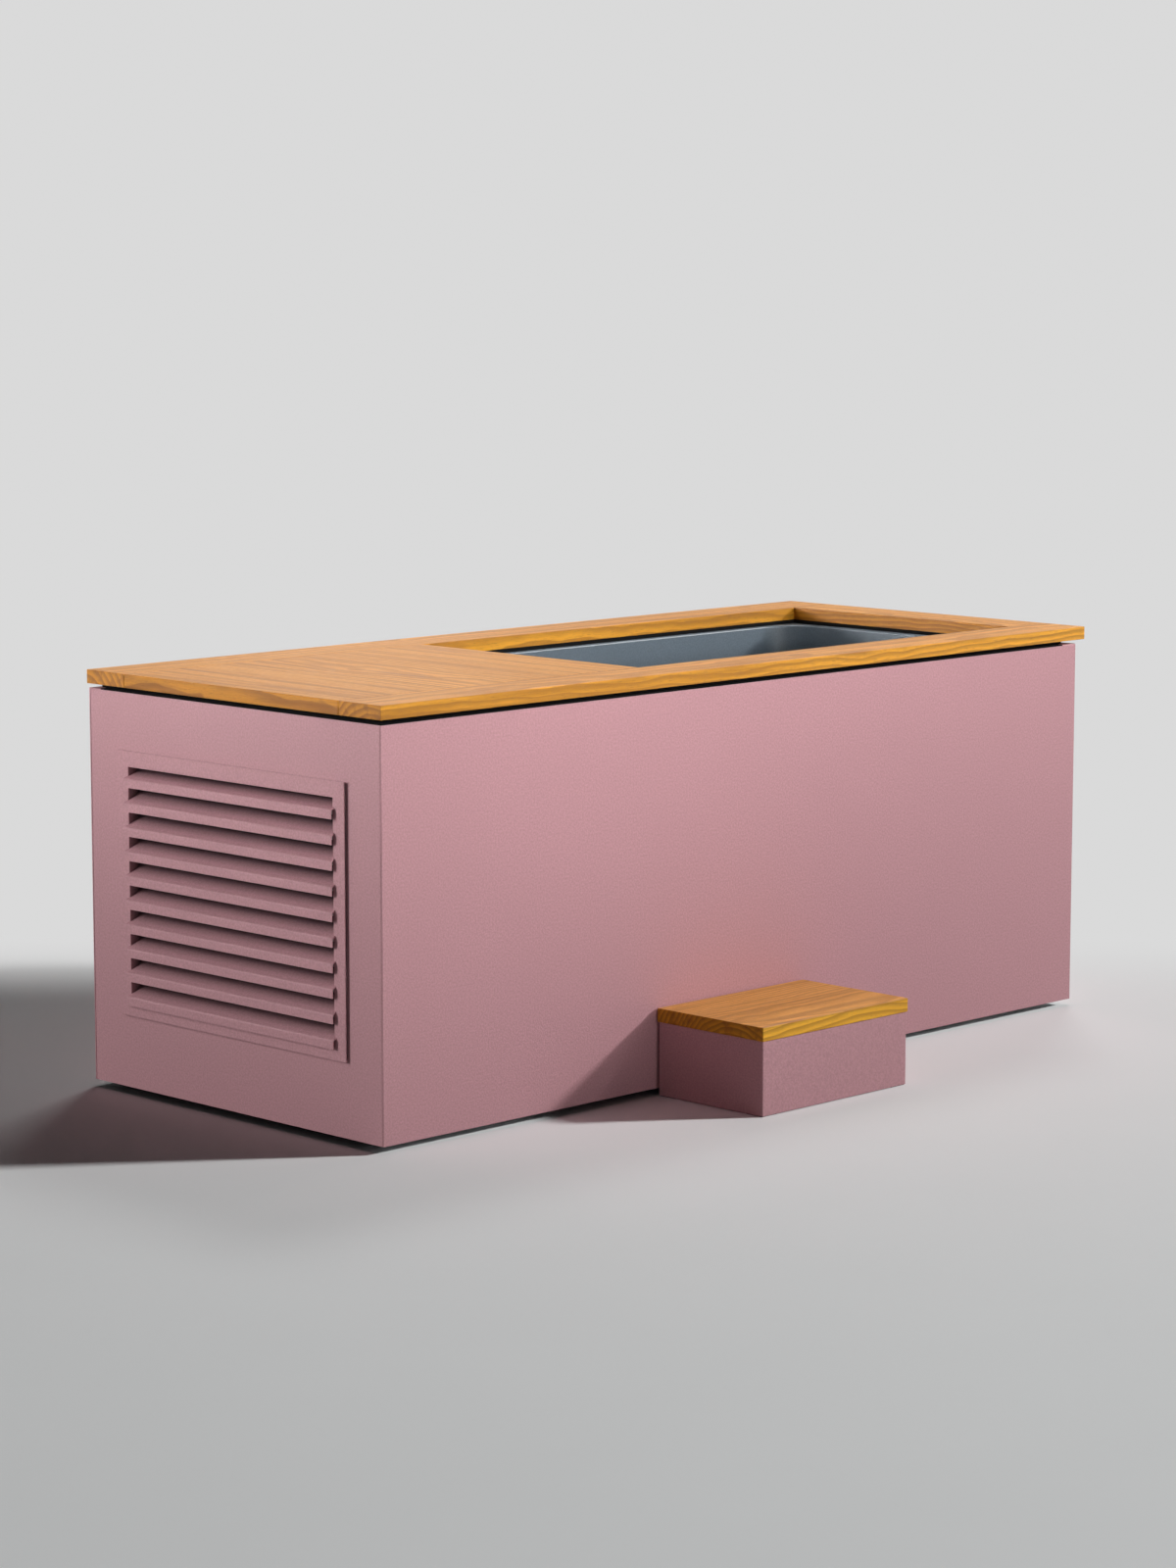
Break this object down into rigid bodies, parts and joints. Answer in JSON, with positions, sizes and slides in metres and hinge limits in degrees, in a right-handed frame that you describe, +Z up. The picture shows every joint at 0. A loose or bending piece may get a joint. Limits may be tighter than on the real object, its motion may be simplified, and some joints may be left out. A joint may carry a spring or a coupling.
{
  "type": "cold plunge tub",
  "caption": "Free-standing cold plunge tub: painted steel shell with a louvred chiller bay, wooden top, moulded basin and a separate wooden-topped step.",
  "frame": {"origin": "on the floor, under the middle of the steel shell", "axes": "+X towards the foot end, away from the vent grille; -Y towards the step; +Z up"},
  "size_m": [2.042, 1.123, 0.821],
  "materials": {
    "powder_coat": "matte",
    "oiled_wood": "satin",
    "black_plastic": "matte",
    "black_rubber": "matte",
    "basin_laminate": "satin",
    "galvanised_steel": "satin",
    "rigid_foam": "matte",
    "finned_aluminium": "satin",
    "black_enamel": "satin",
    "fan_plastic": "satin",
    "exchanger_wrap": "matte",
    "copper": "satin",
    "pump_plastic": "satin",
    "filter_media": "matte",
    "stainless_steel": "satin",
    "pipe_plastic": "satin",
    "fitting_plastic": "satin",
    "valve_brass": "satin",
    "red_plastic": "satin",
    "grey_plastic": "satin",
    "cable_sheath": "matte"
  },
  "bodies": {
    "tub": {"base_skids": "black_plastic", "floor_tray": "galvanised_steel", "posts": "galvanised_steel", "long_beams": "galvanised_steel", "cross_beams": "galvanised_steel", "bulkhead": "galvanised_steel", "front_panel": "powder_coat", "back_panel": "powder_coat", "foot_end_panel": "powder_coat", "vent_end_panel": "powder_coat", "grille_gasket": "black_rubber", "grille_frame": "powder_coat", "louvre_blades": "powder_coat", "grille_brackets": "galvanised_steel", "spacer_frame": "black_plastic", "front_rail": "oiled_wood", "back_rail": "oiled_wood", "end_rail": "oiled_wood", "tub_basin": "basin_laminate", "side_insulation": "rigid_foam", "floor_insulation": "rigid_foam", "condenser_coil": "finned_aluminium", "coil_brackets": "galvanised_steel", "fan_shroud": "black_plastic", "fan_motor": "black_enamel", "compressor": "black_enamel", "compressor_feet": "black_rubber", "heat_exchanger": "exchanger_wrap", "refrigerant_pipes": "copper", "circulation_pump": "pump_plastic", "pump_mount": "black_rubber", "filter_housing": "pump_plastic", "filter_cartridge": "filter_media", "lamp_housing": "stainless_steel", "suction_pipe": "pipe_plastic", "pump_pipe": "pipe_plastic", "filter_pipe": "pipe_plastic", "riser_pipe": "pipe_plastic", "return_pipe": "pipe_plastic", "suction_fitting": "fitting_plastic", "return_fitting": "fitting_plastic", "drain_strainer": "fitting_plastic", "fitting_nuts": "fitting_plastic", "drain_pipe": "pipe_plastic", "service_recess": "black_plastic", "drain_valve": "valve_brass", "cable_gland": "black_plastic", "switch_body": "black_plastic", "control_box": "grey_plastic", "wiring": "cable_sheath"},
    "deck_hatch": {"deck_panel": "oiled_wood", "deck_battens": "oiled_wood"},
    "fan": {"fan_rotor": "fan_plastic"},
    "filter_cap": {"filter_lid": "black_plastic"},
    "jet": {"jet_eyeball": "fitting_plastic"},
    "drain_handle": {"drain_lever": "red_plastic"},
    "rocker": {"switch_rocker": "red_plastic"},
    "step": {"step_box": "powder_coat", "step_tread": "oiled_wood", "step_feet": "black_rubber"}
  },
  "joints": [
    {"name": "deck_lift", "type": "slide", "parent": "tub", "child": "deck_hatch", "axis": [0, 0, 1], "range_m": [0, 0.12]},
    {"name": "step_slide", "type": "slide", "parent": "tub", "child": "step", "axis": [0, -1, 0], "range_m": [0, 0.3]},
    {"name": "fan_spin", "type": "hinge", "parent": "tub", "child": "fan", "pos_m": [-0.855, 0, 0.4], "axis": [1, 0, 0], "continuous": true},
    {"name": "filter_lid_turn", "type": "hinge", "parent": "tub", "child": "filter_cap", "pos_m": [-0.42, -0.28, 0.397], "axis": [0, 0, 1], "range_deg": [0, 90]},
    {"name": "jet_swivel", "type": "hinge", "parent": "tub", "child": "jet", "pos_m": [-0.224, 0, 0.6], "axis": [0, 0, 1], "range_deg": [-15, 15]},
    {"name": "drain_lever_turn", "type": "hinge", "parent": "tub", "child": "drain_handle", "pos_m": [-0.36, 0.359, 0.1075], "axis": [0, 0, -1], "range_deg": [0, 90]},
    {"name": "switch_rock", "type": "hinge", "parent": "tub", "child": "rocker", "pos_m": [-0.47, 0.328, 0.114], "axis": [1, 0, 0], "range_deg": [0, 20]}
  ]
}
